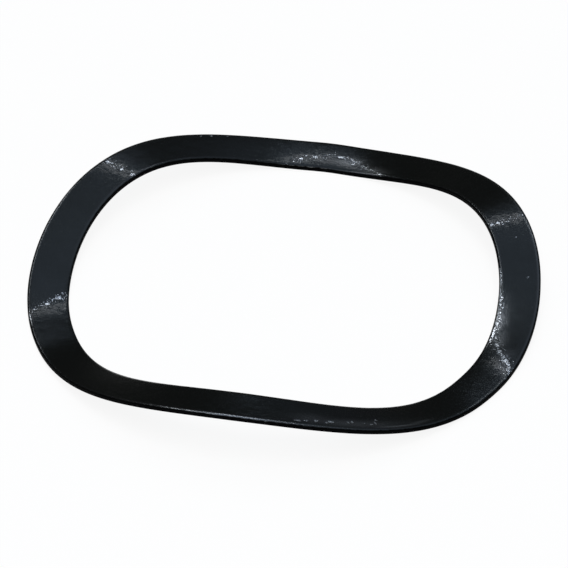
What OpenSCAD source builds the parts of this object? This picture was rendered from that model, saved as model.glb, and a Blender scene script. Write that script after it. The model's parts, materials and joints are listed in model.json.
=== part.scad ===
// Wave washer: a flat ring blanked from spring strip and pressed into three waves.
// It sits in a bearing's housing and pushes the outer race along the shaft.
//
// The washer lies on its three troughs. The origin is on the axis at the surface it
// lies on, +Z is up and the tallest crest points along -Y. Directions are degrees
// counted from +X towards +Y, and all other sizes are millimetres.

/* [Ring] */
// Outside diameter, which drops into the housing
outer_d = 46.4; // [42:0.1:60]
// Bore diameter, which clears the shaft
bore_d = 38.9; // [28:0.1:40.5]
// Thickness of the strip
strip_t = 0.5; // [0.3:0.05:0.8]
// Width of the rounding that blanking and tumbling leave on all four edges
edge_w = 0.26; // [0.1:0.02:0.34]
// Depth of the same rounding
edge_h = 0.1; // [0.04:0.01:0.11]

/* [Crests] */
// Rise of the front crest over the troughs, as it has sprung back from the press
front_crest_h = 4.5; // [1:0.1:6]
// Direction of the front crest
front_crest_at = 270; // [262:0.5:278]
// Rise of the right crest
right_crest_h = 3.5; // [1:0.1:6]
// Direction of the right crest
right_crest_at = 33; // [26:0.5:38]
// Rise of the left crest
left_crest_h = 3.1; // [1:0.1:6]
// Direction of the left crest
left_crest_at = 144.5; // [142:0.5:154]

/* [Troughs] */
// Direction of the rear trough
rear_trough_at = 90; // [84:0.5:96]
// Direction of the left trough
left_trough_at = 204.5; // [200:0.5:214]
// Direction of the right trough
right_trough_at = 335; // [326:0.5:340]
// How much of the ring each trough keeps level, in degrees
trough_level = 7; // [0:0.5:12]

/* [Section] */
// How far the strip is dished: the outer edge stands this far over the middle
dish_h = 0.09; // [0:0.01:0.15]
// How far both edges droop at a trough
droop_h = 0.055; // [0:0.005:0.1]

/* [Finish] */
// Colour of the steel
steel_colour = "#2b2e32"; // ["#2b2e32":Black oxide, "#8f9296":Bright]

/* [Smoothness] */
// Stations around the ring
stations = 144; // [120:12:216]
// Points across the flat of the strip
lanes = 5; // [3:2:7]

/* [Hidden] */

outer_r = outer_d / 2;
bore_r = bore_d / 2;
mid_r = (outer_r + bore_r) / 2;
half_w = (outer_r - bore_r) / 2;
mean_crest_h = (front_crest_h + right_crest_h + left_crest_h) / 3;

// Each rounded edge is drawn as this many short flats.
edge_flats = 2;
// The pressed strip runs past both edge walls, so that each wall cuts it clean.
// This is the overrun as a share of an edge's last flat.
overrun = 0.4;
// How far the blanking tool reaches past the washer, above and below.
tool_clear = 1;
// Half the turn over which the slope along the strip is measured.
slope_step = 0.5;

// --- Height of the middle of the strip ---

// The shortest turn to a direction: negative before it, positive after it.
function turn(a) = a - 360 * floor((a + 180) / 360);

// A crest rises from the level of the troughs and falls back to it as a cosine.
// It reaches a different turn before and after its top.
function crest(a, at, h, trough_before, trough_after) =
    let (
        t = turn(a - at),
        trough = t < 0 ? trough_before : trough_after,
        reach = abs(turn(trough - at)) - trough_level / 2
    )
    abs(t) < reach ? h / 2 * (1 + cos(180 * t / reach)) : 0;

function middle(a) =
    crest(a, front_crest_at, front_crest_h, left_trough_at, right_trough_at)
    + crest(a, right_crest_at, right_crest_h, right_trough_at, rear_trough_at)
    + crest(a, left_crest_at, left_crest_h, rear_trough_at, left_trough_at);

// Rise for each millimetre along the strip at radius r.
function slope(a, r) =
    (middle(a + slope_step) - middle(a - slope_step)) / (2 * slope_step * r * PI / 180);

// Place across the strip: -1 at the bore, 1 at the outside.
function side(r) = (r - mid_r) / half_w;

function dish(r) = dish_h * side(r);

// Bending along the strip makes its edges droop at a trough and stay level at a crest.
function droop(a, r) = droop_h * (1 - middle(a) / mean_crest_h) * pow(side(r), 2);

// The strip keeps its thickness square to its own face, so it is taller where it slopes.
function stretch(a, r) = sqrt(1 + pow(slope(a, r), 2));

// --- Section of the strip: [radius, height above the middle] ---

// A rounded edge at t degrees: 0 on the flat face, 90 on the edge wall.
// The first number is the distance in from the wall.
function rounding(t) = [edge_w * (1 - sin(t)), strip_t / 2 - edge_h * (1 - cos(t))];

last_corner = rounding(90 * (edge_flats - 1) / edge_flats);
wall_corner = rounding(90);
tip = wall_corner + overrun * (wall_corner - last_corner);
edge = concat(
    [for (i = [1 : edge_flats - 1]) rounding(90 * i / edge_flats)],
    [tip]
);

function flat_r(i) = bore_r + edge_w + 2 * (half_w - edge_w) * i / (lanes - 1);

top_side = concat(
    [for (i = [edge_flats - 1 : -1 : 0]) [bore_r + edge[i][0], edge[i][1]]],
    [for (i = [0 : lanes - 1]) [flat_r(i), strip_t / 2]],
    [for (i = [0 : edge_flats - 1]) [outer_r - edge[i][0], edge[i][1]]]
);
across = len(top_side);

under_side = [for (i = [across - 1 : -1 : 0]) [top_side[i][0], -top_side[i][1]]];
section = concat(top_side, under_side);
around = len(section);

// --- The pressed strip ---

function station_angle(i) = 360 * i / stations;

function lift(a, p) = middle(a) + dish(p[0]) - droop(a, p[0]) + p[1] * stretch(a, p[0]);

// The lowest point of the underside is what the washer lies on.
lowest = min([
    for (i = [0 : stations - 1])
        for (p = under_side)
            lift(station_angle(i), p)
]);
highest = max([
    for (i = [0 : stations - 1])
        for (p = top_side)
            lift(station_angle(i), p)
]);
free_h = highest - lowest;

function place(a, p) = [p[0] * cos(a), p[0] * sin(a), lift(a, p) - lowest];

module pressed_strip() {
    points = [
        for (i = [0 : stations - 1])
            for (p = section)
                place(station_angle(i), p)
    ];
    faces = [
        for (i = [0 : stations - 1])
            for (j = [0 : around - 1])
                let (next_i = (i + 1) % stations, next_j = (j + 1) % around)
                for (half = [0, 1])
                    half == 0
                        ? [i * around + j, next_i * around + j, next_i * around + next_j]
                        : [i * around + j, next_i * around + next_j, i * around + next_j]
    ];
    polyhedron(points = points, faces = faces, convexity = 8);
}

// The round edge walls, as the blanking tool cuts them.
module blank() {
    difference() {
        translate([0, 0, -tool_clear])
            cylinder(r = outer_r, h = free_h + 2 * tool_clear, $fn = 2 * stations);
        translate([0, 0, -2 * tool_clear])
            cylinder(r = bore_r, h = free_h + 4 * tool_clear, $fn = 2 * stations);
    }
}

module wave_washer() {
    color(steel_colour)
        intersection() {
            pressed_strip();
            blank();
        }
}

wave_washer();
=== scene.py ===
# A wave washer of black spring steel, lying on its troughs on a pale studio floor.
import json
import math

import bpy
from mathutils import Matrix, Vector, noise


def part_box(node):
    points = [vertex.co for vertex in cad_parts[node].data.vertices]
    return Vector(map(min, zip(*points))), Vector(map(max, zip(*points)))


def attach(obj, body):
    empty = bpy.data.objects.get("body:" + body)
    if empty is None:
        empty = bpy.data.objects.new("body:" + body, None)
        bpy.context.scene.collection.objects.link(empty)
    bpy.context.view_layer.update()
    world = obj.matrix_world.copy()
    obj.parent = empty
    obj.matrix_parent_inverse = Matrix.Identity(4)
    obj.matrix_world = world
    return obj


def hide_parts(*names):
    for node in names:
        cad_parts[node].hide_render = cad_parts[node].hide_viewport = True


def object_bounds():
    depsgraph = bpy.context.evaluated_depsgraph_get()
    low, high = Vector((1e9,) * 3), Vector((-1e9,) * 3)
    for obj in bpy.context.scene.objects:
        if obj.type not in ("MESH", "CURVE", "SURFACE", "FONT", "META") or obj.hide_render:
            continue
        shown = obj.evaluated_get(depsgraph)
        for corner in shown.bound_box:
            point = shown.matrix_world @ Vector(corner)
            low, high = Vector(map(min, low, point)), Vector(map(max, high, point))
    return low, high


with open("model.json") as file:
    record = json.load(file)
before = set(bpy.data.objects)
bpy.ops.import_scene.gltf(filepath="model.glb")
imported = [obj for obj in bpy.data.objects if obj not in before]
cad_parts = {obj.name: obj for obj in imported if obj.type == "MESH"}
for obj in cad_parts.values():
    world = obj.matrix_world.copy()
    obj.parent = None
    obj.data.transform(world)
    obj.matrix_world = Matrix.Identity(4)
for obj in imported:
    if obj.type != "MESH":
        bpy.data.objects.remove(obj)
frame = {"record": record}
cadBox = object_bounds()
mm = 0.001  # one millimetre in scene units


def linear(hexText):
    # an sRGB hex colour as the linear values that shader sockets take
    parts = [int(hexText[i : i + 2], 16) / 255 for i in (1, 3, 5)]
    return [c / 12.92 if c <= 0.04045 else ((c + 0.055) / 1.055) ** 2.4 for c in parts] + [1]


def addNode(tree, kind, settings=None, sockets=None):
    # settings are the node's own properties; a socket takes a value or another node's output
    node = tree.nodes.new(kind)
    for name, value in (settings or {}).items():
        setattr(node, name, value)
    for key, value in (sockets or {}).items():
        if isinstance(value, bpy.types.NodeSocket):
            tree.links.new(value, node.inputs[key])
        else:
            node.inputs[key].default_value = value
    return node


# The strip, in millimetres and degrees. Directions are counted from +X towards +Y. A place
# across the strip is -1 at the bore and 1 at the outside.

lowCorner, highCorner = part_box("wave_washer")
mountSizes = {m["name"]: m["dims"] for m in frame["record"]["mounts"]}

washer = {
    "outerRadius": (highCorner[0] - lowCorner[0]) / 2 / mm,
    "boreRadius": mountSizes["shaft_passage"]["r_mm"],
    "thickness": 0.5,
    "edgeWidth": 0.32,  # rounding left by blanking and tumbling
    "edgeDepth": 0.1,
    # each crest: direction, rise, trough before it, trough after it
    "crests": [(270, 4.5, 204.5, 335), (33, 3.5, 335, 90), (144.5, 3.1, 90, 204.5)],
    "troughLevel": 7,  # how much of the ring each trough keeps level
    "slopeStep": 0.25,  # half the turn over which the slope along the strip is measured
    "dish": 0.09,  # how far the outer edge stands over the middle
    "droop": 0.055,  # how far both edges droop at a trough
    # the right trough runs a little askew: direction, turn at the bore and outside, how
    # far that reaches before and after
    "twist": (347, -2.0, 0.6, 12, 20),
    "unevenness": 0.0035,  # how far rolling and pressing leave the faces from smooth
    "unevenLength": 2.6,
    "unevenApart": 4,  # keeps the underside from being uneven just as the top is
    "edgeWobble": 0.18,  # share by which the rounding's width changes along an edge
    "wobbleLength": 1.7,
    "tornReach": 0.2,  # how far in from a wall its torn surface dies away
    # points of the mesh: around the ring, across the top, across the underside, round each
    # edge and down each wall
    "stations": 1440,
    "lanes": 26,
    "lanesBelow": 8,
    "edgeSteps": 7,
    "wallSteps": 3,
    # bare steel along both rims of the top, partly oxide rubbed off in handling and partly a
    # painted highlight where the rounding catches the lamps: the share gone, how much more goes
    # at the tallest crest, how much of that the bore's rim has, how far in from the wall, width
    "rimWear": 0.02,
    "crestWear": 0.2,
    "boreShare": 0.3,
    "rimInset": 0.2,
    "rimWidth": 0.08,
    # patches where the oxide is thinned, some worn by handling and some painted sheen and
    # highlight where the lamps' highlights fall: direction, place across, length along the
    # strip, length across it, share gone
    "thinned": [
        # front crest, its rim first: the rim row is a painted highlight and the broad faint patch
        # at 288 a painted sheen, the others handling wear
        (268, 0.9, 6.6, 0.1, 0.7), (298, 0.5, 6.4, 0.8, 0.19), (288, 0.4, 2.6, 1.2, 0.1),
        (308, 0.72, 3.4, 0.16, 0.5), (314, 0.6, 1.6, 0.14, 0.3),
        # right trough: painted sheen along the lamps' highlight
        (343.5, 0.5, 1.2, 1.2, 0.07), (347.5, 0.1, 1.2, 1.2, 0.09), (351.5, -0.4, 1.6, 1, 0.13),
        (358, -0.7, 2.6, 0.9, 0.11),
        # rear trough: painted sheen along the lamps' highlight
        (78, -0.65, 2.2, 0.6, 0.26), (83.5, -0.25, 2.2, 0.9, 0.17), (90, -0.1, 2.4, 1, 0.05),
        # rim of the left trough: a painted highlight
        (199.6, 0.92, 0.9, 0.12, 0.9),
    ],
    # knocks that go through it, and painted glints where the lamps' highlights fall, given in
    # the same way
    "knocks": [
        # front crest
        (284.6, 0.62, 0.5, 0.18, 0.6), (286.6, 0.58, 0.4, 0.18, 0.65),
        (288.8, 0.5, 0.26, 0.26, 0.9), (291.2, 0.56, 0.2, 0.2, 0.8), (292.3, 0.48, 0.5, 0.2, 1),
        (296.4, 0.42, 0.2, 0.34, 0.7), (297.4, 0.36, 0.24, 0.3, 0.75),
        (300.2, 0.44, 0.3, 0.16, 0.6), (301.8, 0.5, 0.3, 0.18, 0.65), (303, 0.4, 0.15, 0.36, 0.9),
        (303.5, 0.14, 0.28, 0.16, 0.7), (304.6, 0.02, 0.3, 0.12, 0.55),
        # right trough and the rise after it: knocks, apart from the painted glint at 346
        (338, 0.72, 1.6, 0.1, 0.3), (346, 0.36, 0.4, 0.3, 0.8), (11, 0.4, 0.17, 0.14, 0.62),
        (23.4, 0.1, 0.3, 0.14, 0.5),
        # right crest: painted glints on the lamps' highlight
        (29.6, -0.45, 0.2, 0.3, 0.8), (29.3, -0.8, 0.2, 0.2, 0.9), (30.2, 0.84, 0.2, 0.2, 0.5),
        # rear trough: painted glints on the lamps' highlight
        (86.8, -0.04, 0.6, 0.22, 0.8), (83.2, -0.4, 0.3, 0.16, 0.6),
        (80.6, -0.66, 0.3, 0.16, 0.6), (93.4, -0.22, 0.34, 0.22, 0.7),
        (97, -0.44, 0.34, 0.2, 0.75),
        # left crest, with the rim before it: a painted highlight on the rim and painted glints on
        # the lamps' highlight
        (115, 0.84, 1.2, 0.12, 0.35), (118.6, 0.82, 0.4, 0.16, 0.6), (121.2, 0.8, 0.3, 0.16, 0.6),
        (146.9, 0.7, 0.25, 0.3, 0.9), (146.6, -0.15, 0.24, 0.24, 0.9),
        (145.9, -0.74, 0.2, 0.16, 0.7),
        # left trough: painted glints on the lamps' highlight
        (192.3, -0.55, 0.4, 0.2, 1), (194.6, 0.05, 0.3, 0.3, 0.9), (196.3, 0.72, 0.2, 0.3, 0.6),
    ],
    "markFade": 2.5,  # how far both kinds have faded at their lengths, as a power of e
    "markEnd": 2,  # lengths from its middle at which a mark ends
    # bands of bright bare-steel specks painted as glints along the lamps' highlights: direction
    # and place across from point to point, width of the band, how dense the specks are
    "scuffs": [
        # right trough
        ([(343.6, 0.75), (347.6, 0), (350, -0.46), (353, -0.72)], 1.3, 0.5),
        ([(340.5, 0.95), (344.2, 0.74)], 0.24, 0.62),
        ([(344.2, 0.74), (346.2, 0.35), (347.7, 0), (350.1, -0.46), (353, -0.74)], 0.4, 0.72),
        ([(353, -0.72), (358, -0.8), (366, -0.86)], 0.8, 0.5),
        ([(351, -0.84), (358, -0.9), (368, -0.94), (374, -0.95)], 0.22, 0.95),
        # right crest
        ([(30, 0.9), (29.5, 0.1)], 0.8, 0.44),
        ([(29.5, 0.1), (29.3, -0.9)], 0.8, 0.48),
        # rear trough
        ([(75, -0.85), (82, -0.35), (87.5, 0.1), (93, -0.2), (100, -0.75)], 0.9, 0.46),
        ([(74.5, -0.9), (80, -0.5), (85, -0.05)], 0.4, 0.72),
        # left crest
        ([(147, 0.9), (146.4, 0), (145.6, -0.9)], 1, 0.48),
        # left trough
        ([(196.8, 0.9), (195, 0.3)], 0.7, 0.44),
        ([(195, 0.3), (194.3, 0.1), (191.5, -0.8)], 0.9, 0.54),
    ],
    "scuffFade": 2,  # how far a band has faded at its width, as a power of e
    "scuffEnd": 20,  # degrees from where a leg of a band starts at which it is out of reach
    "knockDensity": 1.8,  # how much denser specks are in the knocks and glints above than in a band of glints
    "knockDepth": 0.012,  # how far the face sinks for each 1 of that density
}

outer, bore = washer["outerRadius"], washer["boreRadius"]
midRadius, stripWidth = (outer + bore) / 2, outer - bore
rises = [crest[1] for crest in washer["crests"]]


def turn(angle):
    # the shortest turn: negative before a direction, positive after it
    return (angle + 180) % 360 - 180


def middle(angle):
    # rise of the strip's middle over the troughs
    height = 0
    for at, rise, before, after in washer["crests"]:
        away = turn(angle - at)
        reach = abs(turn((before if away < 0 else after) - at)) - washer["troughLevel"] / 2
        if abs(away) < reach:
            height += rise / 2 * (1 + math.cos(math.pi * away / reach))
    return height


def face(width, lanes):
    # one face from the bore to the outside as (radius, height, nearness to an edge wall)
    half, steps = washer["thickness"] / 2, washer["edgeSteps"]
    edge = []
    for i in range(steps):
        angle = math.pi / 2 * (1 - i / steps)
        drop = washer["edgeDepth"] * (1 - math.cos(angle))
        edge.append((width * (1 - math.sin(angle)), half - drop))
    flat = [width + (stripWidth - 2 * width) * i / (lanes - 1) for i in range(lanes)]
    points = edge + [(inset, half) for inset in flat]
    points += [(stripWidth - inset, height) for inset, height in reversed(edge)]
    reach = washer["tornReach"]
    return [
        (bore + inset, height, math.exp(-min(inset, stripWidth - inset) / reach))
        for inset, height in points
    ]


def section(widthShare):
    # one slice of the strip, round from the bore over the top and back underneath
    width = washer["edgeWidth"] * widthShare
    over, under = face(width, washer["lanes"]), face(width, washer["lanesBelow"])
    steps = washer["wallSteps"]
    wall = [over[0][1] * (1 - 2 * i / steps) for i in range(1, steps)]
    outerWall = [(outer, height, 1) for height in wall]
    underside = [(radius, -height, nearWall) for radius, height, nearWall in reversed(under)]
    boreWall = [(bore, -height, 1) for height in wall]
    return over + outerWall + underside + boreWall


def lift(angle, radius, height):
    # height of a point of the section once it is pressed
    across = (2 * radius - outer - bore) / stripWidth
    at, atBore, atOutside, before, after = washer["twist"]
    away = turn(angle - at)
    twist = (atBore + atOutside) / 2 + (atOutside - atBore) / 2 * across
    angle += twist * math.exp(-((away / (before if away < 0 else after)) ** 2))
    step = washer["slopeStep"]
    slope = (middle(angle + step) - middle(angle - step)) / (math.radians(2 * step) * radius)
    base = middle(angle) + washer["dish"] * across
    base -= washer["droop"] * (1 - middle(angle) / (sum(rises) / len(rises))) * across**2
    return base + height * math.sqrt(1 + slope**2)


def rubbedAndGlint(marks, angle, radius):
    # how far the oxide is gone at a point of the top face, 0 to 1, as wear and as painted
    # sheen and highlight
    gone = 0
    for at, across, long, wide, share in marks:
        along = math.radians(turn(angle - at)) * radius
        if abs(along) < washer["markEnd"] * long:
            away = radius - midRadius - across * stripWidth / 2
            far = (along / long) ** 2 + (away / wide) ** 2
            gone = max(gone, share * math.exp(-far * washer["markFade"]))
    return gone


def paintedGlints(angle, radius):
    # how dense the painted glint specks are at a point of the top face, 0 to 1
    nearest = 0
    for path, wide, dense in washer["scuffs"]:
        for (fromAt, fromAcross), (toAt, toAcross) in zip(path, path[1:]):
            past = turn(angle - fromAt)
            if abs(past) > washer["scuffEnd"]:
                continue
            spot = Vector((math.radians(past) * radius, radius - midRadius))
            start = Vector((0, fromAcross * stripWidth / 2))
            end = Vector((math.radians(toAt - fromAt) * radius, toAcross * stripWidth / 2))
            leg = end - start
            share = min(1, max(0, (spot - start).dot(leg) / leg.length_squared))
            away = (spot - start - leg * share).length
            nearest = max(nearest, dense * math.exp(-washer["scuffFade"] * (away / wide) ** 2))
    return nearest


def wearAndGlints(angle, radius):
    # share of the oxide that is gone at a point of the top face, as wear and as painted
    # highlight, and how dense its specks are, from knocks and from painted glints
    # the rim band: partly wear, partly a painted highlight along the rounding
    rimAndHighlight = washer["rimWear"] + washer["crestWear"] * (middle(angle) / max(rises)) ** 2
    inset = min(radius - bore, outer - radius)
    rimAndHighlight *= math.exp(-(((inset - washer["rimInset"]) / washer["rimWidth"]) ** 2))
    if radius < midRadius:
        rimAndHighlight *= washer["boreShare"]
    knockedAndGlints = washer["knockDensity"] * rubbedAndGlint(washer["knocks"], angle, radius)
    worn = max(rimAndHighlight, rubbedAndGlint(washer["thinned"], angle, radius))
    return worn, max(knockedAndGlints, paintedGlints(angle, radius))


def makeStrip():
    count = washer["stations"]
    points, marks = [], {"nearWall": [], "worn": [], "specks": []}
    for i in range(count):
        angle = 360 * i / count
        away = Vector((math.cos(math.radians(angle)), math.sin(math.radians(angle)), 0))
        wobble = noise.noise(away * outer / washer["wobbleLength"])
        for radius, height, nearWall in section(1 + washer["edgeWobble"] * wobble):
            worn, specks = wearAndGlints(angle, radius) if height > 0 else (0, 0)
            spot = away * radius + Vector((0, 0, washer["unevenApart"] * height))
            uneven = washer["unevenness"] * noise.noise(spot / washer["unevenLength"])
            z = lift(angle, radius, height) + uneven - washer["knockDepth"] * specks
            points.append((away.x * radius, away.y * radius, z))
            marks["nearWall"].append(nearWall)
            marks["worn"].append(worn)
            marks["specks"].append(specks)
    lowest = min(point[2] for point in points)
    points = [(x * mm, y * mm, (z - lowest) * mm) for x, y, z in points]

    around = len(points) // count
    faces = []
    for i in range(count):
        here, there = i * around, (i + 1) % count * around
        for j in range(around):
            k = (j + 1) % around
            faces.append((here + j, here + k, there + k, there + j))
    mesh = bpy.data.meshes.new("washerStrip")
    mesh.from_pydata(points, [], faces)
    mesh.shade_smooth()
    for name, values in marks.items():
        mesh.attributes.new(name, "FLOAT", "POINT").data.foreach_set("value", values)
    piece = bpy.data.objects.new("washer_strip", mesh)
    bpy.context.collection.objects.link(piece)
    return piece


strip = makeStrip()
print("strip:", len(strip.data.vertices), "points,", 2 * len(strip.data.polygons), "triangles")


# Spring steel, blanked and pressed, then tumbled, blackened with oxide and oiled. The oxide
# is a thin dark skin over metal, so it mirrors dimly and without a colour of its own.
# Tumbling leaves the faces finely dimpled, which breaks a lamp's reflection into sparks.
# The sheared edges are torn and matt, and stay black. Knocks go through to the grey steel,
# and specks of it are painted along the lamps' highlights as glints. The rounded edges are
# rubbed thin, partly as wear and partly as a painted highlight where they catch the lamps.

steel = {
    "oxide": "#191c1c",
    "oxideThin": "#1f2223",
    "sheared": "#070708",
    # bare steel, also the colour of the painted highlights, sheen and glints
    "bare": "#b2b4b6",
    "grazing": "#cccccc",  # oxide stays dark where it is seen edge-on
    "roughness": 0.22,
    "roughnessSwing": 0.05,  # more or less of it, with the grain
    "shearedRoughness": 0.6,
    "oilWeight": 0.3,
    "oilRoughness": 0.07,
    "oilIor": 1.47,
    # sizes of the patterns in mm: the finest that show, though real grain goes down to 0.05
    "patterns": {"grain": 0.17, "dimple": 0.85, "ragged": 0.35, "speck": 0.14},
    "patternDetail": 2,
    "patternRoughness": 0.55,
    "patternRange": (0.3, 0.7),  # the values that a pattern mostly keeps to
    "grainDepth": 0.0045,
    "dimpleDepth": 0.017,
    "tearing": 0.9,  # how raggedly the sheared edge ends
    "tornRange": (1.0, 1.3),  # nearness to a wall, with the tearing, over which it comes in
    "clumping": 0.5,  # how unevenly specks gather
    "sparse": -0.5,  # keeps specks off where nothing is knocked and no glint is painted
    "speckRange": (0.56, 0.66),  # a narrow range, so that a speck's edge is crisp
}


def makeSteel():
    material = bpy.data.materials.new("blackOxideSpringSteel")
    material.use_nodes = True
    tree = material.node_tree
    tree.nodes.clear()
    place = addNode(tree, "ShaderNodeTexCoord").outputs["Object"]
    marks = {}
    for name in ("nearWall", "worn", "specks"):
        marks[name] = addNode(tree, "ShaderNodeAttribute", {"attribute_name": name}).outputs["Fac"]
    pattern = {}
    for name, size in steel["patterns"].items():
        pattern[name] = addNode(
            tree, "ShaderNodeTexNoise", {"noise_dimensions": "3D"},
            {"Vector": place, "Scale": 1 / (size * mm), "Detail": steel["patternDetail"],
             "Roughness": steel["patternRoughness"]},
        ).outputs["Fac"]

    # the faces: dimples, and grain on them
    dimpled = addNode(
        tree, "ShaderNodeBump", {},
        {"Height": pattern["dimple"], "Distance": steel["dimpleDepth"] * mm, "Strength": 1},
    ).outputs["Normal"]
    normal = addNode(
        tree, "ShaderNodeBump", {},
        {"Height": pattern["grain"], "Distance": steel["grainDepth"] * mm, "Strength": 1,
         "Normal": dimpled},
    ).outputs["Normal"]

    # the sheared edge ends raggedly
    torn = addNode(
        tree, "ShaderNodeMath", {"operation": "MULTIPLY_ADD"},
        {0: pattern["ragged"], 1: steel["tearing"], 2: marks["nearWall"]},
    ).outputs[0]
    start, full = steel["tornRange"]
    sheared = addNode(
        tree, "ShaderNodeMapRange", {}, {"Value": torn, "From Min": start, "From Max": full},
    ).outputs["Result"]

    # specks of bare steel gather where the face is knocked and where glints are painted along
    # the lamps' highlights
    level = addNode(
        tree, "ShaderNodeMapRange", {},
        {"Value": marks["specks"], "To Min": steel["sparse"], "To Max": 0.0},
    ).outputs["Result"]
    level = addNode(
        tree, "ShaderNodeMath", {"operation": "ADD"}, {0: level, 1: pattern["speck"]},
    ).outputs[0]
    level = addNode(
        tree, "ShaderNodeMath", {"operation": "MULTIPLY_ADD"},
        {0: pattern["ragged"], 1: steel["clumping"], 2: level},
    ).outputs[0]
    start, full = steel["speckRange"]
    specks = addNode(
        tree, "ShaderNodeMapRange", {"interpolation_type": "SMOOTHSTEP"},
        {"Value": level, "From Min": start, "From Max": full},
    ).outputs["Result"]
    bare = addNode(
        tree, "ShaderNodeMath", {"operation": "MAXIMUM"}, {0: marks["worn"], 1: specks},
    ).outputs[0]

    # each finish over the one before it
    colour = linear(steel["oxide"])
    # the bare layer is partly knocks and wear, partly painted highlight, sheen and glints
    layers = {"oxideThin": pattern["dimple"], "bare": bare, "sheared": sheared}
    for name, share in layers.items():
        colour = addNode(
            tree, "ShaderNodeMix", {"data_type": "RGBA"},
            {"Factor": share, "A": colour, "B": linear(steel[name])},
        ).outputs["Result"]
    low, high = steel["patternRange"]
    rough = addNode(
        tree, "ShaderNodeMapRange", {},
        {"Value": pattern["grain"], "From Min": low, "From Max": high,
         "To Min": steel["roughness"] - steel["roughnessSwing"],
         "To Max": steel["roughness"] + steel["roughnessSwing"]},
    ).outputs["Result"]
    rough = addNode(
        tree, "ShaderNodeMix", {}, {"Factor": sheared, "A": rough, "B": steel["shearedRoughness"]},
    ).outputs["Result"]
    oiled = addNode(
        tree, "ShaderNodeMapRange", {},
        {"Value": sheared, "To Min": steel["oilWeight"], "To Max": 0.0},
    ).outputs["Result"]
    shader = addNode(
        tree, "ShaderNodeBsdfPrincipled", {},
        {"Base Color": colour, "Metallic": 1.0, "Roughness": rough,
         "Specular Tint": linear(steel["grazing"]), "Coat Weight": oiled,
         "Coat Roughness": steel["oilRoughness"], "Coat IOR": steel["oilIor"],
         "Normal": normal, "Coat Normal": normal},
    )
    addNode(tree, "ShaderNodeOutputMaterial", {}, {"Surface": shader.outputs["BSDF"]})
    return material


strip.data.materials.append(makeSteel())
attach(strip, "root")
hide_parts("wave_washer")
print("steel: one material")


# The studio: a painted floor, grey air with pools of skylight, three lamps and a camera.
# A bearing is counted in degrees to the right of the line of sight.

studio = {
    "floorRadius": 1.5,
    "floorSides": 96,
    "floorColour": "#f7f7f7",
    "floorGlow": 0.9,  # share of the floor that the camera and the metal see as plain white
    "airColour": "#eef4f0",
    "airLow": 0.115,  # brightness near the horizon and overhead
    "airHigh": 0.25,
    "airRange": (0.3, 1.0),  # heights of the sky between which it brightens
    "poolColour": "#cddffc",
    # soft pools of light on the walls and ceiling: bearing, elevation, radius in degrees,
    # brightness
    "pools": {
        "rearWall": (32, 54, 32, 0.36),
        "ceiling": (-35, 82, 36, 0.74),
        "rightWall": (40, 22, 30, 0.2),
        "rearGlow": (3, 48, 15, 0.5),
    },
    # each lamp: bearing and elevation of both its ends, a metre away; its width in metres,
    # brightness and colour
    "lamps": {
        "rearStrip": ((-8, 42.6), (24, 46), 0.016, 10.0, "#f8fbff"),
        "leftStrip": ((-23, 36), (-72, 79), 0.03, 11.0, "#f4f8ff"),
        "frontSoftbox": ((150, 66), (-150, 66), 0.8, 6.5, "#ffffff"),
    },
}
view = {
    "azimuth": 11.57,  # from +Y towards -X
    "elevation": 38.50,
    "distance": 0.699,  # metres
    "aimHeight": 2.03,  # on the washer's axis over the floor, and to the right of it, in mm
    "aimRight": 0.02,
    "roll": 0.14,
    "lens": 490.3,
    "clip": (0.01, 10),  # metres: nearer and further than this nothing is drawn
}


def viewDirection(bearing, elevation):
    # a direction by its bearing to the right of the line of sight, over the floor
    heading, tilt = math.radians(view["azimuth"] - bearing), math.radians(elevation)
    level = math.cos(tilt)
    return Vector((-math.sin(heading) * level, math.cos(heading) * level, math.sin(tilt)))


def makeFloor():
    # matt paint that the camera and the metal see as near white, with the washer's shadow
    material = bpy.data.materials.new("paintedFloor")
    material.use_nodes = True
    tree = material.node_tree
    tree.nodes.clear()
    matt = addNode(tree, "ShaderNodeBsdfDiffuse", {}, {"Color": linear(studio["floorColour"])})
    white = addNode(tree, "ShaderNodeEmission", {}, {"Color": linear("#ffffff"), "Strength": 1})
    path = addNode(tree, "ShaderNodeLightPath").outputs
    seen = path["Is Camera Ray"]
    for ray in ("Is Glossy Ray", "Is Transmission Ray"):
        seen = addNode(
            tree, "ShaderNodeMath", {"operation": "ADD", "use_clamp": True},
            {0: seen, 1: path[ray]},
        ).outputs[0]
    share = addNode(
        tree, "ShaderNodeMath", {"operation": "MULTIPLY"}, {0: seen, 1: studio["floorGlow"]},
    ).outputs[0]
    mix = addNode(
        tree, "ShaderNodeMixShader", {}, {0: share, 1: matt.outputs[0], 2: white.outputs[0]},
    )
    addNode(tree, "ShaderNodeOutputMaterial", {}, {"Surface": mix.outputs[0]})
    bpy.ops.mesh.primitive_circle_add(
        vertices=studio["floorSides"], radius=studio["floorRadius"], fill_type="NGON",
    )
    floor = bpy.context.object
    floor.name = "floor"
    floor.location.z = cadBox[0].z
    floor.data.materials.append(material)


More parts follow.
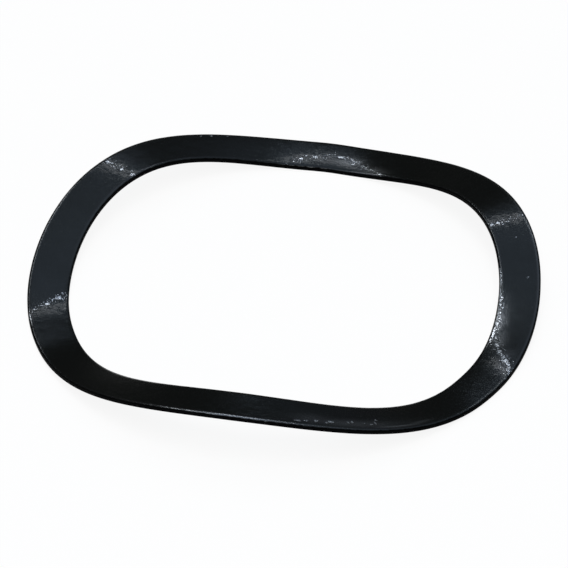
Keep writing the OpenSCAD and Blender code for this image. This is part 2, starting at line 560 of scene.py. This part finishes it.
def makeWorld():
    world = bpy.data.worlds.new("studioAir")
    world.use_nodes = True
    bpy.context.scene.world = world
    tree = world.node_tree
    tree.nodes.clear()
    way = addNode(tree, "ShaderNodeTexCoord").outputs["Generated"]
    parts = addNode(tree, "ShaderNodeSeparateXYZ", {}, {"Vector": way})
    low, high = studio["airRange"]
    level = addNode(
        tree, "ShaderNodeMapRange", {"interpolation_type": "SMOOTHSTEP"},
        {"Value": parts.outputs["Z"], "From Min": low, "From Max": high,
         "To Min": studio["airLow"], "To Max": studio["airHigh"]},
    ).outputs["Result"]
    air = addNode(
        tree, "ShaderNodeBackground", {},
        {"Color": linear(studio["airColour"]), "Strength": level},
    )
    level = 0
    for bearing, elevation, radius, bright in studio["pools"].values():
        near = addNode(
            tree, "ShaderNodeVectorMath", {"operation": "DOT_PRODUCT"},
            {0: way, 1: viewDirection(bearing, elevation)},
        ).outputs["Value"]
        pool = addNode(
            tree, "ShaderNodeMapRange", {"interpolation_type": "SMOOTHSTEP"},
            {"Value": near, "From Min": math.cos(math.radians(radius)), "From Max": 1.0,
             "To Min": 0.0, "To Max": bright},
        ).outputs["Result"]
        level = addNode(
            tree, "ShaderNodeMath", {"operation": "ADD"}, {0: pool, 1: level},
        ).outputs[0]
    pools = addNode(
        tree, "ShaderNodeBackground", {},
        {"Color": linear(studio["poolColour"]), "Strength": level},
    )
    both = addNode(tree, "ShaderNodeAddShader", {}, {0: air.outputs[0], 1: pools.outputs[0]})
    addNode(tree, "ShaderNodeOutputWorld", {}, {"Surface": both.outputs[0]})


def makeLamps():
    for name, (start, end, width, bright, tint) in studio["lamps"].items():
        start, end = viewDirection(*start), viewDirection(*end)
        centre, along = (start + end) / 2, end - start
        light = bpy.data.lights.new(name, "AREA")
        light.shape = "RECTANGLE"
        light.size, light.size_y = along.length, width
        light.energy = bright * math.pi * along.length * width  # watts for that brightness
        light.color = linear(tint)[:3]
        lamp = bpy.data.objects.new(name, light)
        back, along = centre.normalized(), along.normalized()
        turned = Matrix((along, back.cross(along), back)).transposed()
        lamp.matrix_world = Matrix.Translation(centre) @ turned.to_4x4()
        bpy.context.collection.objects.link(lamp)


def makeCamera():
    camera = bpy.data.objects.new("camera", bpy.data.cameras.new("camera"))
    bpy.context.collection.objects.link(camera)
    azimuth = math.radians(view["azimuth"])
    right = Vector((math.cos(azimuth), math.sin(azimuth), 0))
    aim = right * view["aimRight"] * mm + Vector((0, 0, view["aimHeight"] * mm))
    back = viewDirection(180, view["elevation"])
    camera.location = aim + back * view["distance"]
    camera.rotation_euler = back.to_track_quat("Z", "Y").to_euler()
    camera.rotation_euler.rotate_axis("Z", math.radians(-view["roll"]))
    camera.data.lens = view["lens"]
    camera.data.clip_start, camera.data.clip_end = view["clip"]
    bpy.context.scene.camera = camera


makeFloor()
makeWorld()
makeLamps()
makeCamera()
bpy.context.scene.view_settings.view_transform = "Standard"
print("studio:", len(studio["lamps"]), "lamps and a floor")
